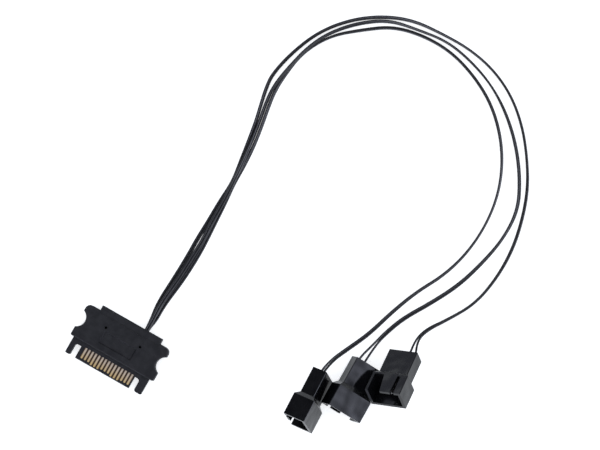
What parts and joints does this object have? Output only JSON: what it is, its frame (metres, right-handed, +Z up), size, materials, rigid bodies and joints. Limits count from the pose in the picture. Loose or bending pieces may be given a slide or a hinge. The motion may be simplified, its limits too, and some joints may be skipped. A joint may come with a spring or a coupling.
{
  "type": "fan power adapter cable",
  "caption": "Adapter cable: a flat drive-power plug with a gold contact tongue feeds keyed in-line fan sockets through loose twin-wire leads.",
  "frame": {"origin": "middle of the flat underside of the plug's shell, which lies on the table", "axes": "+Z up from the table, -Y the way the plug is pushed home, +X across the plug towards the sockets"},
  "size_m": [0.1152, 0.1581, 0.0194],
  "materials": {
    "plug_plastic": "fine matte moulded texture",
    "contact_gold": "gold plate",
    "socket_plastic": "satin moulded black",
    "pin_tin": "bright tin plate",
    "lead_insulation": "soft satin insulation"
  },
  "bodies": {
    "root": {"plug_core": "plug_plastic", "plug_upper_shell": "plug_plastic", "plug_lower_shell": "plug_plastic", "plug_contact_01": "contact_gold", "plug_contact_02": "contact_gold", "plug_contact_03": "contact_gold", "plug_contact_04": "contact_gold", "plug_contact_05": "contact_gold", "plug_contact_06": "contact_gold", "plug_contact_07": "contact_gold", "plug_contact_08": "contact_gold", "plug_contact_09": "contact_gold", "plug_contact_10": "contact_gold", "plug_contact_11": "contact_gold", "plug_contact_12": "contact_gold", "plug_contact_13": "contact_gold", "plug_contact_14": "contact_gold", "plug_contact_15": "contact_gold", "fan_socket_1_housing": "socket_plastic", "fan_socket_2_housing": "socket_plastic", "fan_socket_3_housing": "socket_plastic", "fan_socket_1_ground_pin": "pin_tin", "fan_socket_1_power_pin": "pin_tin", "fan_socket_2_ground_pin": "pin_tin", "fan_socket_2_power_pin": "pin_tin", "fan_socket_3_ground_pin": "pin_tin", "fan_socket_3_power_pin": "pin_tin", "lead_1": "lead_insulation", "lead_2": "lead_insulation", "lead_3": "lead_insulation"}
  },
  "joints": []
}
